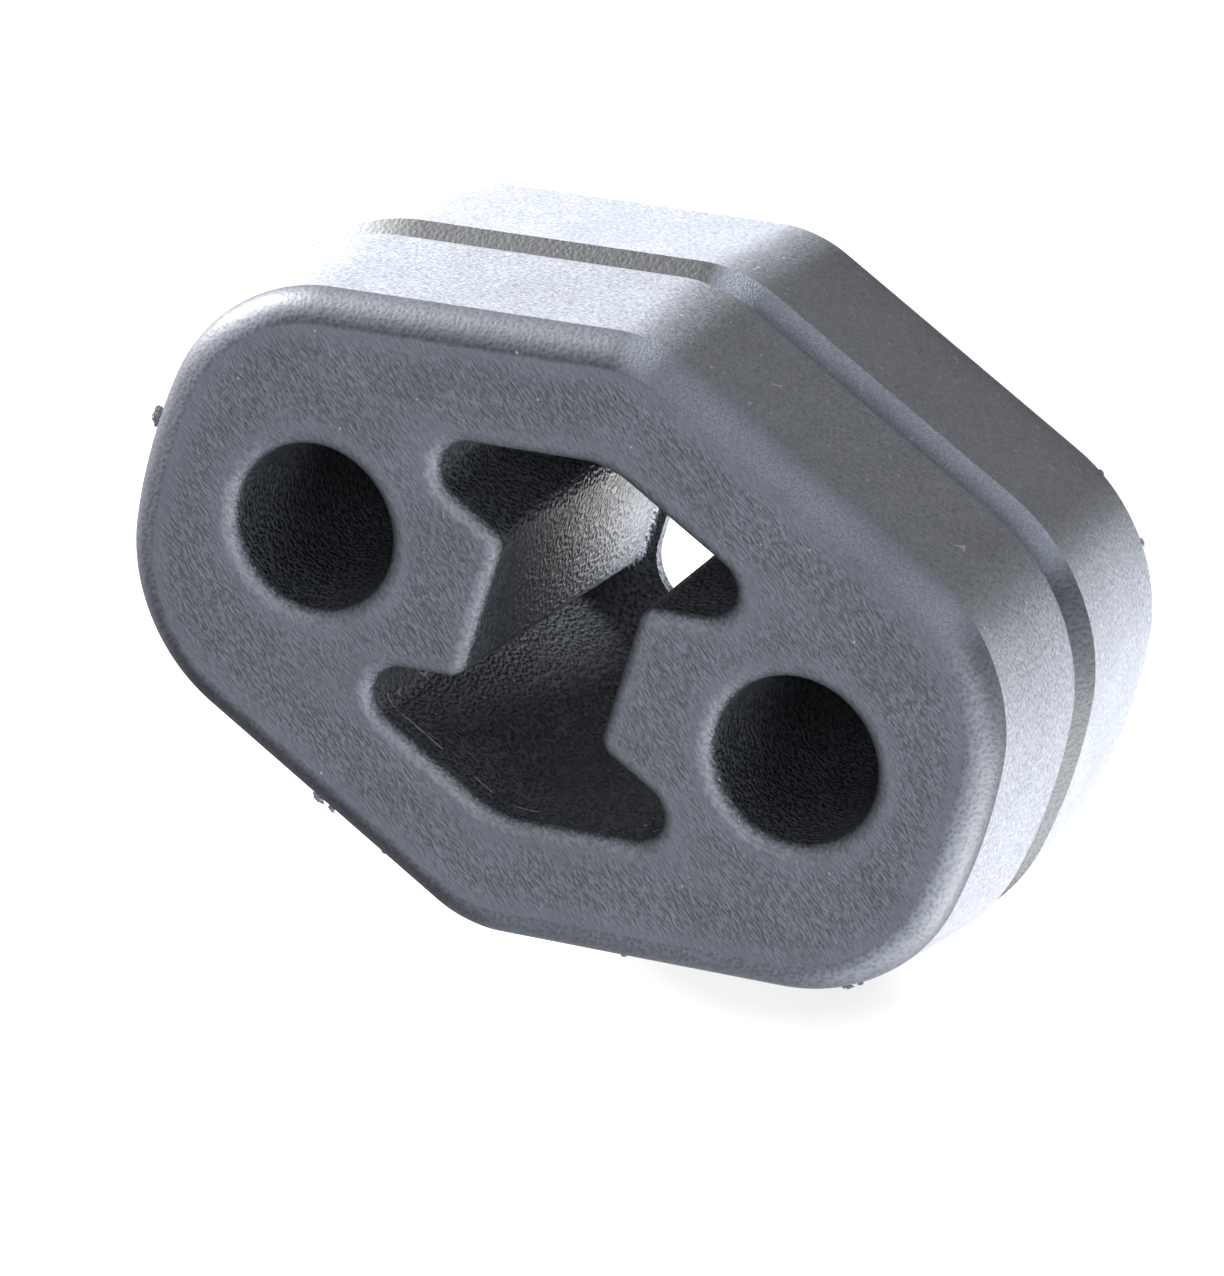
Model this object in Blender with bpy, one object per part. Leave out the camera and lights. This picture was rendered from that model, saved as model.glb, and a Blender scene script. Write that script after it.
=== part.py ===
"""Exhaust hanger rubber: one moulded block with two hanger bores and a stop window.

The block lies on its back face. X runs from bore to bore, Y across the block
and Z up to the grained front face. Every size is in metres.
"""

import math

import bmesh
import bpy
from mathutils import Vector

# Block: a long hexagon with soft corners, widest at the middle of its length
THICKNESS = 0.0273
HALF_LENGTH = 0.0312
HALF_WIDTH = 0.0223
EDGE_SLOPE = math.radians(16.7)
END_SLOPE = math.radians(7.0)
CREST_RADIUS = 0.0096
SHOULDER_RADIUS = 0.0134
END_RADIUS = 0.0400

# Outer wall: both halves taper away from the groove at the mould's parting
FRONT_DRAFT = math.radians(6.0)
BACK_DRAFT = math.radians(3.8)
FRONT_EDGE_RADIUS = 0.0021
BACK_EDGE_RADIUS = 0.0006

# Groove round the middle: soft lip in front, crisp edge behind
GROOVE_START = 0.0112
GROOVE_WIDTH = 0.0033
GROOVE_DEPTH = 0.0015
GROOVE_LIP_RADIUS = 0.0015
GROOVE_ROOT_RADIUS = 0.0004

# Bores for the two hanger pins
BORE_RADIUS = 0.0055
BORE_PITCH = 0.0350
BORE_MOUTH_RADIUS = 0.0011
BORE_BACK_RADIUS = 0.0007

# Window between the bores, with a stop block reaching in from each side
STOP_GAP = 0.0100
STOP_HEIGHT = 0.0102
STOP_FLARE = math.radians(16.7)
STOP_CORNER_RADIUS = 0.0013
WINDOW_HEIGHT = 0.0259
WINDOW_CREST_RADIUS = 0.0060
LOBE_RADIUS = 0.0020
WINDOW_MOUTH_RADIUS = 0.0010
WINDOW_DRAFT = math.radians(2.3)
STOP_DRAFT = math.radians(1.0)

# Thin web that closes the window at the back, with a slot through it
WEB_THICKNESS = 0.0008
WEB_FILLET_RADIUS = 0.0005
SLOT_WIDTH = 0.0073
SLOT_LENGTH = 0.0140

RUBBER_COLOUR = (0.045, 0.048, 0.054, 1.0)
RUBBER_ROUGHNESS = 0.62


def clear_scene():
    """Empty the scene of the objects that Blender starts with."""
    for obj in list(bpy.data.objects):
        bpy.data.objects.remove(obj, do_unlink=True)


def line_crossing(point_a, dir_a, point_b, dir_b):
    """Point where two lines in the plane cross."""
    cross = dir_a.x * dir_b.y - dir_a.y * dir_b.x
    gap = point_b - point_a
    along = (gap.x * dir_b.y - gap.y * dir_b.x) / cross
    return point_a + dir_a * along


def corner_arc(before, corner, after, radius, segments):
    """Points of the fillet that rounds one corner of a path."""
    into = (corner - before).normalized()
    out = (after - corner).normalized()
    turn = math.atan2(into.x * out.y - into.y * out.x, into.dot(out))
    if radius <= 0.0 or abs(turn) < 1e-6:
        return [corner.copy()]
    side = math.copysign(1.0, turn)
    start = corner - into * radius * math.tan(abs(turn) / 2.0)
    spoke = Vector((into.y, -into.x)) * side
    centre = start - spoke * radius
    points = []
    for step in range(segments + 1):
        angle = turn * step / segments
        ray = Vector((
            spoke.x * math.cos(angle) - spoke.y * math.sin(angle),
            spoke.x * math.sin(angle) + spoke.y * math.cos(angle),
        ))
        points.append(centre + ray * radius)
    return points


def fillet_reach(before, corner, after, radius):
    """Length that a fillet takes from each of the two runs it joins."""
    into = (corner - before).normalized()
    out = (after - corner).normalized()
    turn = math.atan2(abs(into.x * out.y - into.y * out.x), into.dot(out))
    return radius * math.tan(turn / 2.0)


def fitted_radii(points, radii):
    """Fillet radii, each limited by the runs that it shares with its neighbours."""
    count = len(points)
    reaches = []
    for index in range(count):
        reaches.append(fillet_reach(
            points[index - 1], points[index], points[(index + 1) % count], radii[index]))
    shares = [1.0] * count
    for index in range(count):
        after = (index + 1) % count
        run = (points[after] - points[index]).length
        share = min(1.0, run * 0.9999 / (reaches[index] + reaches[after]))
        shares[index] = min(shares[index], share)
        shares[after] = min(shares[after], share)
    return [radius * share for radius, share in zip(radii, shares)]


def rounded_outline(corners, grow):
    """Closed outline with filleted corners, pushed outwards by grow.

    Each corner is (point, radius, segments), in anticlockwise order. A fillet
    keeps its centre when the outline grows, so every offset has as many points.
    """
    points = [Vector(corner[0]) for corner in corners]
    radii = fitted_radii(points, [corner[1] for corner in corners])
    count = len(points)
    starts = []
    runs = []
    for index in range(count):
        run = (points[(index + 1) % count] - points[index]).normalized()
        starts.append(points[index] + Vector((run.y, -run.x)) * grow)
        runs.append(run)
    moved = []
    for index in range(count):
        last = index - 1
        moved.append(line_crossing(starts[last], runs[last], starts[index], runs[index]))
    outline = []
    for index, corner in enumerate(corners):
        last = runs[index - 1]
        here = runs[index]
        convex = last.x * here.y - last.y * here.x > 0.0
        fillet = radii[index] + grow if convex else radii[index] - grow
        outline += corner_arc(
            moved[index - 1], moved[index], moved[(index + 1) % count],
            max(fillet, 0.00002), corner[2])
    return outline


def four_way(quarter):
    """Mirror the corners of one quarter, given from the +X to the +Y axis."""
    right_top = list(quarter)
    left_top = [((-p[0], p[1]), r, s) for p, r, s in reversed(quarter) if p[0] > 0.0]
    upper = right_top + left_top
    lower = [((p[0], -p[1]), r, s) for p, r, s in reversed(upper) if p[1] > 0.0]
    return upper + lower


def block_corners():
    """Corners of the block's outline at the parting line."""
    crest = HALF_WIDTH + CREST_RADIUS * (1.0 / math.cos(EDGE_SLOPE) - 1.0)
    end = HALF_LENGTH + END_RADIUS * (1.0 / math.cos(END_SLOPE) - 1.0)
    shoulder = line_crossing(
        Vector((0.0, crest)), Vector((math.cos(EDGE_SLOPE), -math.sin(EDGE_SLOPE))),
        Vector((end, 0.0)), Vector((-math.sin(END_SLOPE), math.cos(END_SLOPE))))
    return four_way([
        ((end, 0.0), END_RADIUS, 4),
        (tuple(shoulder), SHOULDER_RADIUS, 10),
        ((0.0, crest), CREST_RADIUS, 8),
    ])


def window_corners(depth):
    """Corners of the window at a depth below the front face.

    The upper and lower edges run parallel to the block's own edges. Each lobe
    lies between such an edge and the flank of a stop block.
    """
    narrow = depth * math.tan(WINDOW_DRAFT)
    crest = WINDOW_HEIGHT / 2.0 - narrow / math.cos(EDGE_SLOPE)
    half_gap = STOP_GAP / 2.0 - depth * math.tan(STOP_DRAFT)
    stop_top = STOP_HEIGHT / 2.0 + narrow / math.cos(STOP_FLARE)
    stop_top -= (STOP_GAP / 2.0 - half_gap) * math.tan(STOP_FLARE)
    lobe = line_crossing(
        Vector((0.0, crest)), Vector((math.cos(EDGE_SLOPE), -math.sin(EDGE_SLOPE))),
        Vector((half_gap, stop_top)), Vector((math.cos(STOP_FLARE), math.sin(STOP_FLARE))))
    return four_way([
        ((half_gap, stop_top), STOP_CORNER_RADIUS + narrow, 4),
        (tuple(lobe), max(LOBE_RADIUS - narrow, 0.0003), 8),
        ((0.0, crest), max(WINDOW_CREST_RADIUS - narrow, 0.0003), 6),
    ])


def slot_corners():
    """Corners of the slot in the web: a rectangle with fully round ends."""
    half = SLOT_WIDTH / 2.0
    end = SLOT_LENGTH / 2.0
    return four_way([((half, end), half * 0.999, 8)])


def bore_corners(side):
    """Square round one bore whose fillets meet in a circle."""
    reach = BORE_RADIUS
    middle = side * BORE_PITCH / 2.0
    square = [(reach, reach), (-reach, reach), (-reach, -reach), (reach, -reach)]
    return [((middle + x, y), BORE_RADIUS * 0.9999, 9) for x, y in square]


def rounded_profile(path):
    """Open wall profile of (outset, height) points with filleted corners."""
    points = [Vector(stop[0]) for stop in path]
    profile = [points[0]]
    for index in range(1, len(path) - 1):
        _, radius, segments = path[index]
        profile += corner_arc(
            points[index - 1], points[index], points[index + 1], radius, segments)
    profile.append(points[-1])
    return profile


def block_profile():
    """Outer wall, from the front face down over the groove to the back face."""
    lip = THICKNESS - GROOVE_START
    edge = lip - GROOVE_WIDTH
    front_inset = GROOVE_START * math.tan(FRONT_DRAFT)
    back_inset = edge * math.tan(BACK_DRAFT)
    root = edge + GROOVE_WIDTH * 0.45
    front_round = FRONT_EDGE_RADIUS * math.tan(math.pi / 4.0 - FRONT_DRAFT / 2.0)
    back_round = BACK_EDGE_RADIUS * math.tan(math.pi / 4.0 - BACK_DRAFT / 2.0)
    profile = rounded_profile([
        ((-front_inset - front_round * 1.5, THICKNESS), 0.0, 0),
        ((-front_inset, THICKNESS), FRONT_EDGE_RADIUS, 6),
        ((0.0, lip), GROOVE_LIP_RADIUS, 5),
        ((-GROOVE_DEPTH, root), GROOVE_ROOT_RADIUS, 3),
        ((0.0, edge), 0.0, 0),
        ((-back_inset, 0.0), BACK_EDGE_RADIUS, 3),
        ((-back_inset - back_round * 1.5, 0.0), 0.0, 0),
    ])
    return profile[1:-1]


def mouth_profile(height, radius, direction, segments):
    """Quarter round where a wall opens onto a face, from the face inwards."""
    points = []
    for step in range(segments + 1):
        angle = math.pi / 2.0 * step / segments
        outset = radius * (1.0 - math.sin(angle))
        fall = radius * (1.0 - math.cos(angle))
        points.append(Vector((outset, height - direction * fall)))
    return points


def add_ring(mesh, outline, height):
    """Closed loop of vertices and edges at one height."""
    loop = [mesh.verts.new((point.x, point.y, height)) for point in outline]
    for index, vertex in enumerate(loop):
        mesh.edges.new((vertex, loop[(index + 1) % len(loop)]))
    return loop


def skin(mesh, rings):
    """Loft quads between neighbouring rings."""
    for upper, lower in zip(rings, rings[1:]):
        count = len(upper)
        for index in range(count):
            after = (index + 1) % count
            mesh.faces.new((upper[index], upper[after], lower[after], lower[index]))


def fill_face(mesh, loops):
    """Fill the flat face between an outer loop and the openings inside it."""
    edges = []
    for loop in loops:
        for index, vertex in enumerate(loop):
            edges.append(mesh.edges.get((vertex, loop[(index + 1) % len(loop)])))
    bmesh.ops.triangle_fill(mesh, use_beauty=True, use_dissolve=False, edges=edges)


def loft_wall(mesh, corners_at, profile):
    """Wall that follows a profile round an outline, ring by ring."""
    rings = []
    for station in profile:
        corners = corners_at(station.y)
        rings.append(add_ring(mesh, rounded_outline(corners, station.x), station.y))
    skin(mesh, rings)
    return rings


def build_block(mesh):
    """Outer wall of the block."""
    corners = block_corners()
    return loft_wall(mesh, lambda height: corners, block_profile())


def build_bore(mesh, side):
    """Straight bore, rounded at both mouths."""
    corners = bore_corners(side)
    front = mouth_profile(THICKNESS, BORE_MOUTH_RADIUS, 1.0, 5)
    back = mouth_profile(0.0, BORE_BACK_RADIUS, -1.0, 3)
    return loft_wall(mesh, lambda height: corners, front + back[::-1])


def build_window(mesh):
    """Window wall from its rounded mouth down to the web, and the web's slot."""
    front = mouth_profile(THICKNESS, WINDOW_MOUTH_RADIUS, 1.0, 5)
    foot = []
    for step in range(4):
        angle = math.pi / 2.0 * step / 3
        foot.append(Vector((
            -WEB_FILLET_RADIUS * (1.0 - math.cos(angle)),
            WEB_THICKNESS + WEB_FILLET_RADIUS * (1.0 - math.sin(angle)),
        )))
    wall = loft_wall(
        mesh, lambda height: window_corners(THICKNESS - height), front + foot)
    slot = slot_corners()
    level = [Vector((0.0, WEB_THICKNESS)), Vector((0.0, 0.0))]
    throat = loft_wall(mesh, lambda height: slot, level)
    fill_face(mesh, [wall[-1], throat[0]])
    return wall, throat


def rubber_material():
    """Plain black rubber."""
    material = bpy.data.materials.new("moulded_rubber")
    material.use_nodes = True
    shader = material.node_tree.nodes["Principled BSDF"]
    shader.inputs["Base Color"].default_value = RUBBER_COLOUR
    shader.inputs["Roughness"].default_value = RUBBER_ROUGHNESS
    shader.inputs["Metallic"].default_value = 0.0
    return material


def main():
    """Model the hanger rubber."""
    clear_scene()
    collection = bpy.data.collections.new("exhaust_hanger_rubber")
    bpy.context.scene.collection.children.link(collection)

    mesh = bmesh.new()
    outer = build_block(mesh)
    left = build_bore(mesh, -1.0)
    right = build_bore(mesh, 1.0)
    wall, throat = build_window(mesh)
    fill_face(mesh, [outer[0], left[0], right[0], wall[0]])
    fill_face(mesh, [outer[-1], left[-1], right[-1], throat[-1]])
    bmesh.ops.recalc_face_normals(mesh, faces=mesh.faces)

    data = bpy.data.meshes.new("hanger_body")
    mesh.to_mesh(data)
    mesh.free()
    data.shade_smooth()
    data.set_sharp_from_angle(angle=math.radians(30.0))
    data.materials.append(rubber_material())
    body = bpy.data.objects.new("hanger_body", data)
    collection.objects.link(body)


main()
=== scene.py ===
import math

import bmesh
import bpy
from mathutils import Matrix, Vector
from mathutils.kdtree import KDTree


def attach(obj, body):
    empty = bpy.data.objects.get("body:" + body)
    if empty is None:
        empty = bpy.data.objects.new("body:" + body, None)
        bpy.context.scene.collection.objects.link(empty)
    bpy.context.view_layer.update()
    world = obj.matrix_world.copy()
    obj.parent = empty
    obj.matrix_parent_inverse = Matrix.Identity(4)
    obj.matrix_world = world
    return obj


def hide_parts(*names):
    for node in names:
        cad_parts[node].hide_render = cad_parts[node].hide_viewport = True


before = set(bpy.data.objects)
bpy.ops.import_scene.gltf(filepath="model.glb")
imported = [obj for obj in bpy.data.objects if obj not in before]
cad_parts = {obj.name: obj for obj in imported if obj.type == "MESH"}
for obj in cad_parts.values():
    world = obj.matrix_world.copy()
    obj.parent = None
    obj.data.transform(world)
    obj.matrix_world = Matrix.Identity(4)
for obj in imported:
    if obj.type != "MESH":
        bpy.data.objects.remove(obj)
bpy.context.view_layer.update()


# Hanger body, outer shape
# One block of black rubber, compression moulded in two halves. The wall tapers
# away on both sides of a groove that runs round the middle at the parting.
block_top = 0.0273
crest_y = 0.022723
end_x = 0.031500
shoulder = (0.029808, 0.013780)
groove_top = 0.0161
groove_foot = 0.0128
groove_root = 0.014285
groove_depth = 0.0015
lip_turn = 45.6
root_turn = 84.9
foot_turn = 48.5
side_slope = 16.7
end_slope = 7.0
front_draft = 6.0
back_draft = 3.8
crest_radius = 0.0096
end_radius = 0.0400
shoulder_radius = 0.0134
lip_radius = 0.0015
root_radius = 0.0004
foot_radius = 0.00007
front_radius = 0.0021
back_radius = 0.0006


def deselect_everything():
    """Leave edit mode and let go of every object."""
    if bpy.context.object and bpy.context.object.mode != "OBJECT":
        bpy.ops.object.mode_set(mode="OBJECT")
    bpy.ops.object.select_all(action="DESELECT")


def edit(piece, mode="EDGE"):
    """Open one piece in edit mode, with nothing selected in it."""
    deselect_everything()
    bpy.context.view_layer.objects.active = piece
    piece.select_set(True)
    bpy.ops.object.mode_set(mode="EDIT")
    bpy.ops.mesh.select_mode(type=mode)
    bpy.ops.mesh.select_all(action="DESELECT")


def pick_vertices(test):
    """Select the vertices of the open piece that pass a test."""
    bpy.ops.mesh.select_mode(type="VERT")
    bpy.ops.mesh.select_all(action="DESELECT")
    shape = bmesh.from_edit_mesh(bpy.context.edit_object.data)
    for vertex in shape.verts:
        if test(vertex.co):
            vertex.select_set(True)
    shape.select_flush(True)
    bmesh.update_edit_mesh(bpy.context.edit_object.data)


def pick_edges(test):
    """Select the edges of the open piece whose two ends pass a test."""
    bpy.ops.mesh.select_mode(type="EDGE")
    bpy.ops.mesh.select_all(action="DESELECT")
    shape = bmesh.from_edit_mesh(bpy.context.edit_object.data)
    shape.normal_update()
    for edge in shape.edges:
        if test(edge):
            edge.select_set(True)
    bmesh.update_edit_mesh(bpy.context.edit_object.data)


def pick_faces(test):
    """Select the faces of the open piece that pass a test."""
    bpy.ops.mesh.select_mode(type="FACE")
    bpy.ops.mesh.select_all(action="DESELECT")
    shape = bmesh.from_edit_mesh(bpy.context.edit_object.data)
    shape.normal_update()
    for face in shape.faces:
        if test(face):
            face.select_set(True)
    bmesh.update_edit_mesh(bpy.context.edit_object.data)


def round_over(radius, turn, segments, affect="EDGES"):
    """Bevel the selection to a true arc of one radius, for a bend of so many degrees."""
    half = math.radians(turn) / 2.0
    bulge = 1.0 - 0.5 / (1.0 + math.cos(half))
    bpy.ops.mesh.bevel(
        offset=radius * math.tan(half), offset_type="OFFSET", segments=segments,
        profile=bulge * bulge, affect=affect, clamp_overlap=False)


def level_loop(height):
    """Test for the edges that run round the block at one height."""
    return lambda edge: all(abs(v.co.z - height) < 1e-6 for v in edge.verts)


deselect_everything()
bpy.ops.mesh.primitive_cube_add(
    size=1.0, location=(0.0, 0.0, (groove_top + groove_foot) / 2.0),
    scale=(2.0 * end_x, 2.0 * crest_y, groove_top - groove_foot))
rubber_block = bpy.context.object
rubber_block.name = "rubber_block"
rubber_block.data.name = "rubber_block"
bpy.ops.object.transform_apply(location=True, rotation=True, scale=True)
edit(rubber_block)
for across in ((1.0, 0.0, 0.0), (0.0, 1.0, 0.0)):
    bpy.ops.mesh.select_all(action="SELECT")
    bpy.ops.mesh.bisect(plane_co=(0.0, 0.0, 0.0), plane_no=across)
pick_vertices(lambda co: abs(co.x) > 0.9 * end_x and abs(co.y) > 0.9 * crest_y)
bpy.ops.transform.resize(
    value=(shoulder[0] / end_x, shoulder[1] / crest_y, 1.0), center_override=(0.0, 0.0, 0.0))
pick_faces(lambda face: abs(face.normal.z) > 0.9)
bpy.ops.mesh.dissolve_faces()


def upright_edge(x, y):
    """Test for the four or two upright edges at one mirrored place."""
    def test(edge):
        a, b = edge.verts
        return (
            abs(a.co.z - b.co.z) > 1e-4
            and abs(abs(a.co.x) - x) < 2e-4
            and abs(abs(a.co.y) - y) < 2e-4)
    return test


pick_edges(upright_edge(0.0, crest_y))
round_over(crest_radius, 2.0 * side_slope, 18)
pick_edges(upright_edge(end_x, 0.0))
round_over(end_radius, 2.0 * end_slope, 12)
pick_edges(upright_edge(*shoulder))
round_over(shoulder_radius, 90.0 - side_slope - end_slope, 28)

# Each half is drawn out from the parting with its draft
pick_faces(lambda face: face.normal.z > 0.9)
bpy.ops.mesh.inset(
    thickness=(block_top - groove_top) * math.tan(math.radians(front_draft)),
    depth=block_top - groove_top)
pick_faces(lambda face: face.normal.z < -0.9)
bpy.ops.mesh.inset(
    thickness=groove_foot * math.tan(math.radians(back_draft)), depth=groove_foot)

# Groove: a ring of cuts is pushed in, then its lip, root and foot are rounded, and
# last the edges of the two faces
bpy.ops.mesh.select_all(action="SELECT")
bpy.ops.mesh.bisect(plane_co=(0.0, 0.0, groove_root), plane_no=(0.0, 0.0, 1.0))
pick_vertices(lambda co: abs(co.z - groove_root) < 1e-5)
bpy.ops.transform.shrink_fatten(value=-groove_depth, use_even_offset=True)
pick_edges(level_loop(groove_top))
round_over(lip_radius, lip_turn, 8)
pick_edges(level_loop(groove_root))
round_over(root_radius, root_turn, 4)
pick_edges(level_loop(groove_foot))
round_over(foot_radius, foot_turn, 2)
pick_edges(level_loop(block_top))
round_over(front_radius, 90.0 - front_draft, 12)
pick_edges(level_loop(0.0))
round_over(back_radius, 90.0 - back_draft, 5)
bpy.ops.object.mode_set(mode="OBJECT")


# Bores for the hanger pins
# Each is left by a straight steel pin of the mould, 11 mm thick, and stands open
# at both faces. The mouths are rounded later, together with the window's.
bore_radius = 0.0055
bore_x = 0.0175
cutter_length = 0.04
border_rings = (0.0003, 0.0005, 0.0005, 0.0005)


def cut_with(tool):
    """Take the tool's shape out of the block, then put the tool away."""
    deselect_everything()
    bpy.context.view_layer.objects.active = rubber_block
    cut = rubber_block.modifiers.new("core", "BOOLEAN")
    cut.operation = "DIFFERENCE"
    cut.solver = "EXACT"
    cut.object = tool
    bpy.ops.object.modifier_apply(modifier=cut.name)
    bpy.data.objects.remove(tool)


# Smooth border of the front face: rings that the grain can fade in over
edit(rubber_block, "FACE")
for ring in border_rings:
    pick_faces(lambda face: face.normal.z > 0.999 and len(face.verts) > 100)
    bpy.ops.mesh.inset(thickness=ring, depth=0.0)
bpy.ops.object.mode_set(mode="OBJECT")

for bore_side in (-1.0, 1.0):
    deselect_everything()
    bpy.ops.mesh.primitive_cylinder_add(
        vertices=112, radius=bore_radius, depth=cutter_length,
        location=(bore_side * bore_x, 0.0, block_top / 2.0))
    cut_with(bpy.context.object)


# Window with its stop blocks
# The core of the mould leaves a tapering window: edges parallel to the outline,
# four round lobes, and a stop block that reaches in from the left and the right.
# It ends at a thin web with a slot.
window_reach = (0.0108, 0.0135)
window_draft = 2.3
stop_corner = (0.0064, 0.0042)
web_top = 0.0008
web_corner = 0.0005
slot_width = 0.0073
slot_length = 0.0140
slot_corner = 0.003645
bore_mouth_front = 0.0011
bore_mouth_back = 0.0007
window_mouth = 0.0010
mouth_rings = (0.00025, 0.0005)
window_levels = (
    # height, crest y, lobe corner x and y, stop corner x and y, radii of the three
    (block_top, 0.012950, 0.015583, 0.008275, 0.005000, 0.005100, 0.0060, 0.0020, 0.0013),
    (web_top, 0.011838, 0.011870, 0.008275, 0.004537, 0.006072, 0.00494, 0.00094, 0.00236),
)
deselect_everything()
bpy.ops.mesh.primitive_plane_add(size=1.0, location=(0.0, 0.0, 0.0))
window_core = bpy.context.object
edit(window_core)
bpy.ops.mesh.select_all(action="SELECT")
bpy.ops.mesh.delete(type="VERT")
for level in window_levels:
    height, crest, lobe_x, lobe_y, stop_x, stop_y, crest_r, lobe_r, stop_r = level
    bpy.ops.mesh.select_all(action="SELECT")
    bpy.ops.mesh.hide()
    bpy.ops.mesh.primitive_plane_add(size=2.0 * lobe_x, location=(0.0, 0.0, height))
    bpy.ops.transform.resize(
        value=(1.0, lobe_y / lobe_x, 1.0), center_override=(0.0, 0.0, height))

    # Cuts on the rim: one for each crest, two for each stop block
    for axis, sign, cuts in ((1, 1, 1), (1, -1, 1), (0, 1, 2), (0, -1, 2)):
        pick_edges(lambda edge: not edge.hide and all(
            v.co[axis] * sign > 0.999 * (lobe_x, lobe_y)[axis] for v in edge.verts))
        bpy.ops.mesh.subdivide(number_cuts=cuts)
    pick_vertices(lambda co: abs(co.z - height) < 1e-6 and abs(co.x) < 0.0001)
    bpy.ops.transform.resize(
        value=(1.0, crest / lobe_y, 1.0), center_override=(0.0, 0.0, height))
    pick_vertices(lambda co: abs(co.z - height) < 1e-6 and abs(co.y) < 0.5 * lobe_y)
    bpy.ops.transform.resize(
        value=(stop_x / lobe_x, 3.0 * stop_y / lobe_y, 1.0), center_override=(0.0, 0.0, height))

    pick_vertices(lambda co: abs(co.z - height) < 1e-6 and abs(co.x) < 0.0001)
    round_over(crest_r, 2.0 * side_slope, 12, affect="VERTICES")
    pick_vertices(lambda co: abs(co.z - height) < 1e-6 and abs(co.x) > lobe_x - 0.0001)
    round_over(lobe_r, 180.0 - 2.0 * side_slope, 24, affect="VERTICES")
    pick_vertices(lambda co: abs(co.z - height) < 1e-6
                  and (Vector((abs(co.x), abs(co.y))) - Vector((stop_x, stop_y))).length < 1e-5)
    round_over(stop_r, 90.0 - side_slope, 12, affect="VERTICES")
bpy.ops.mesh.reveal()
bpy.ops.mesh.select_mode(type="EDGE")
bpy.ops.mesh.select_all(action="SELECT")
bpy.ops.mesh.bridge_edge_loops()
bpy.ops.mesh.select_all(action="SELECT")
bpy.ops.mesh.normals_make_consistent(inside=False)
pick_edges(level_loop(web_top))
round_over(web_corner, 90.0 - window_draft, 4)
pick_faces(lambda face: face.calc_center_median().z > block_top - 1e-5)
bpy.ops.mesh.extrude_region_move(TRANSFORM_OT_translate={"value": (0.0, 0.0, 0.002)})
bpy.ops.object.mode_set(mode="OBJECT")
cut_with(window_core)

# Slot through the web: a block with fully round ends
deselect_everything()
bpy.ops.mesh.primitive_cube_add(
    size=1.0, location=(0.0, 0.0, 0.0), scale=(slot_width, slot_length, 0.004))
slot_core = bpy.context.object
bpy.ops.object.transform_apply(location=True, rotation=True, scale=True)
edit(slot_core)
pick_edges(lambda edge: abs(edge.verts[0].co.z - edge.verts[1].co.z) > 1e-4)
round_over(slot_corner, 90.0, 16)
bpy.ops.object.mode_set(mode="OBJECT")
cut_with(slot_core)

# Mouths of the bores and the window, front and back
edit(rubber_block)


def mouth(height, near):
    """Test for the rim of one opening: flat face on one side, wall on the other."""
    def test(edge):
        middle = (edge.verts[0].co + edge.verts[1].co) / 2.0
        flats = [face for face in edge.link_faces if abs(face.normal.z) > 0.999]
        return (
            len(edge.link_faces) == 2 and len(flats) == 1 and near(middle)
            and all(abs(v.co.z - height) < 1e-6 for v in edge.verts))
    return test


def at_bore(place):
    """Whether a place lies within half a millimetre of a bore's wall."""
    return math.hypot(abs(place.x) - bore_x, place.y) < bore_radius + 0.0005


def at_window(place):
    """Whether a place lies on the window's side of the bores."""
    return abs(place.x) < window_reach[0] and abs(place.y) < window_reach[1]


pick_edges(mouth(block_top, at_bore))
round_over(bore_mouth_front, 90.0, 9)
pick_edges(mouth(0.0, at_bore))
round_over(bore_mouth_back, 90.0, 6)
pick_edges(mouth(block_top, at_window))
round_over(window_mouth, 90.0 - window_draft, 9)


def at_stop_corner(place):
    """Whether a place lies close to a front corner of a stop block."""
    x, y = stop_corner
    return math.hypot(abs(place.x) - x, abs(place.y) - y) < 0.0009


# Two rings round every mouth; the tight arcs at the stop corners are drawn to a point
pick_faces(lambda face: (
    face.normal.z > 0.999
    and len(face.verts) > 20
    and face.calc_center_median().z > block_top - 1e-5))
bpy.ops.mesh.quads_convert_to_tris(quad_method="BEAUTY", ngon_method="BEAUTY")
bpy.ops.mesh.inset(thickness=mouth_rings[0], depth=0.0, use_even_offset=True)
bpy.ops.mesh.select_mode(type="VERT")
shape = bmesh.from_edit_mesh(rubber_block.data)
for vertex in shape.verts:
    vertex.select_set(vertex.select and at_stop_corner(vertex.co))
bmesh.update_edit_mesh(rubber_block.data)
bpy.ops.mesh.remove_doubles(threshold=0.0002)
pick_faces(lambda face: (
    face.normal.z > 0.999
    and len(face.verts) == 3
    and face.calc_center_median().z > block_top - 1e-5
    and not all(at_stop_corner(vertex.co) for vertex in face.verts)))
bpy.ops.mesh.inset(thickness=mouth_rings[1], depth=0.0, use_even_offset=False)
bpy.ops.object.mode_set(mode="OBJECT")


# Skin of the rubber
# The mould leaves five finishes: slanted grain on the front face, spark-eroded pits
# on its rounding and in the groove, streaked outer walls, pitted core walls, and
# polished mouths. All are one black rubber, greyed by bloom, with painted light and shade by
# side, facing and depth laid over the greys.
rounding_foot = 0.02542
groove_rise = 0.01405
wall_reach = 0.0050
mouth_depth = 0.0010
outer_fade = (0.0002, 0.0017)
hole_fade = (-0.0006, 0.0008)
side_blend = (0.86, 0.985)
fine_way = Vector((0.2874, 0.9578, 0.0))
coarse_way = Vector((-0.2874, 0.9578, 0.0))
# Way from which the painted light comes
painted_light_way = Vector((0.71, 0.70, 0.0))
mesh = rubber_block.data
flat_front = set()
for face in mesh.polygons:
    if face.normal.z > 0.999 and face.center.z > block_top - 1e-5:
        flat_front.add(face.index)
edge_faces = {}
for face in mesh.polygons:
    for key in face.edge_keys:
        edge_faces.setdefault(key, []).append(face.index)
outer_rim = []
hole_rims = []
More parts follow.
